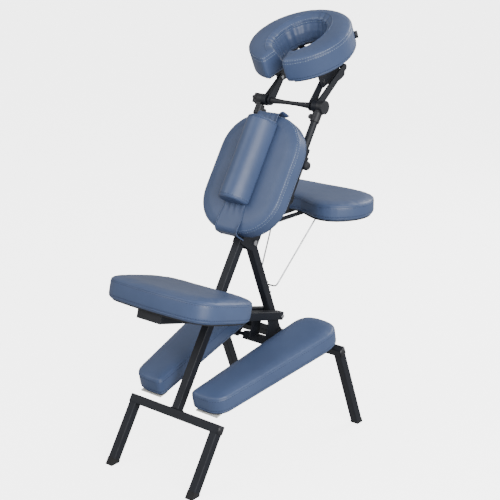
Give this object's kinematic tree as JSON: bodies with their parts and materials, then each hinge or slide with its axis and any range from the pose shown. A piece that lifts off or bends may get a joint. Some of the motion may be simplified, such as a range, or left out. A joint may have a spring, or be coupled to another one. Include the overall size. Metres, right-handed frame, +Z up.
{
  "type": "portable massage chair",
  "caption": "Folding kneeling massage chair with a padded seat, knee rests, chest pad, armrest and telescoping face rest on a dark steel tube frame.",
  "frame": {"origin": "centre of the footprint box, on the floor", "axes": "+X to the client's right, +Y the way the client faces, +Z up"},
  "size_m": [0.4934, 0.8364, 1.2266],
  "materials": {
    "vinyl": "satin blue vinyl",
    "frame_paint": "satin charcoal powder coat",
    "plywood": "plywood under a black dust cloth",
    "rubber": "matt",
    "zinc": "zinc plated",
    "black_plastic": "fine grained",
    "nylon": "smooth"
  },
  "bodies": {
    "main_frame": {"main_rail": "frame_paint", "saddle_shelf": "frame_paint", "front_leg_frame": "frame_paint", "front_foot_right": "rubber", "front_foot_left": "rubber", "hinge_bracket": "frame_paint", "rear_pivot_bolt": "zinc", "armrest_pivot_bolt": "zinc", "chest_cross_bar_lower": "frame_paint", "chest_cross_bar_upper": "frame_paint", "post_sleeve_right": "frame_paint", "post_sleeve_left": "frame_paint", "chest_board": "plywood", "chest_pad": "vinyl", "sternum_bolster": "vinyl", "sternum_strap": "vinyl"},
    "rear_frame": {"rear_post": "frame_paint", "rear_leg_frame": "frame_paint", "rear_foot_right": "rubber", "rear_foot_left": "rubber", "bail_rack": "frame_paint"},
    "seat_assembly": {"beam_pivot_bolt": "zinc", "saddle_pin": "zinc", "seat_rail_right": "frame_paint", "seat_rail_left": "frame_paint", "beam_front_spacer": "black_plastic", "kneeler_hanger": "frame_paint", "seat_board": "plywood", "seat_pad": "vinyl"},
    "kneeler_assembly_right": {"kneeler_board_right": "plywood", "kneeler_pad_right": "vinyl", "kneeler_bracket_right": "frame_paint", "kneeler_glide_right": "nylon"},
    "kneeler_assembly_left": {"kneeler_board_left": "plywood", "kneeler_pad_left": "vinyl", "kneeler_bracket_left": "frame_paint", "kneeler_glide_left": "nylon"},
    "armrest_assembly": {"armrest_board": "plywood", "armrest_pad": "vinyl", "armrest_arms": "frame_paint", "bail_clip_right": "black_plastic", "bail_clip_left": "black_plastic"},
    "bail": {"armrest_bail": "zinc"},
    "face_mast": {"face_post_right": "frame_paint", "face_post_left": "frame_paint", "clamp_right": "black_plastic", "clamp_left": "black_plastic", "tie_rod": "black_plastic"},
    "clamp_hand_knob": {"clamp_knob": "black_plastic"},
    "sleeve_lock_knob": {"sleeve_knob": "black_plastic"},
    "face_arm_set": {"face_arm_right": "frame_paint", "face_arm_left": "frame_paint", "face_strut_right": "frame_paint", "face_strut_left": "frame_paint"},
    "face_head": {"face_platform": "black_plastic", "platform_bracket": "frame_paint", "platform_rivet_right": "zinc", "platform_rivet_left": "zinc", "face_cushion": "vinyl"}
  },
  "joints": [
    {"name": "rear_frame_fold", "type": "hinge", "parent": "main_frame", "child": "rear_frame", "pos_m": [0, 0.02904, 0.5889], "axis": [1, 0, 0], "range_deg": [-28, 0]},
    {"name": "seat_beam_tilt", "type": "hinge", "parent": "rear_frame", "child": "seat_assembly", "pos_m": [0, 0.12792, 0.34031], "axis": [1, 0, 0], "range_deg": [0, 11.3]},
    {"name": "kneeler_right_tilt", "type": "hinge", "parent": "seat_assembly", "child": "kneeler_assembly_right", "pos_m": [0.105, 0.09787, 0.2614], "axis": [1, 0, 0], "range_deg": [0, 16]},
    {"name": "kneeler_left_tilt", "type": "hinge", "parent": "seat_assembly", "child": "kneeler_assembly_left", "pos_m": [-0.105, 0.09787, 0.2614], "axis": [1, 0, 0], "range_deg": [0, 16]},
    {"name": "armrest_lift", "type": "hinge", "parent": "main_frame", "child": "armrest_assembly", "pos_m": [0, 0.04614, 0.634], "axis": [1, 0, 0], "range_deg": [0, 35]},
    {"name": "armrest_bail_swing", "type": "hinge", "parent": "armrest_assembly", "child": "bail", "pos_m": [0, 0.25104, 0.6342], "axis": [1, 0, 0], "range_deg": [0, 45]},
    {"name": "face_rest_slide", "type": "slide", "parent": "main_frame", "child": "face_mast", "axis": [0, 0.5394, 0.8421], "range_m": [-0.02, 0.06]},
    {"name": "clamp_knob_turn", "type": "hinge", "parent": "face_mast", "child": "clamp_hand_knob", "pos_m": [-0.125, 0.21731, 0.96857], "axis": [1, 0, 0], "continuous": true},
    {"name": "sleeve_knob_turn", "type": "hinge", "parent": "main_frame", "child": "sleeve_lock_knob", "pos_m": [0.128, 0.12022, 0.81699], "axis": [1, 0, 0], "continuous": true},
    {"name": "face_arms_pivot", "type": "hinge", "parent": "face_mast", "child": "face_arm_set", "pos_m": [0, 0.21731, 0.96857], "axis": [1, 0, 0], "range_deg": [-25, 25]},
    {"name": "face_platform_tilt", "type": "hinge", "parent": "face_arm_set", "child": "face_head", "pos_m": [0, 0.26914, 1.032], "axis": [1, 0, 0], "range_deg": [-11, 11]}
  ],
  "couplings": [
    {"joint": "seat_beam_tilt", "follows": "rear_frame_fold", "ratio": -0.4},
    {"joint": "kneeler_right_tilt", "follows": "rear_frame_fold", "ratio": -0.57},
    {"joint": "kneeler_left_tilt", "follows": "rear_frame_fold", "ratio": -0.57}
  ]
}
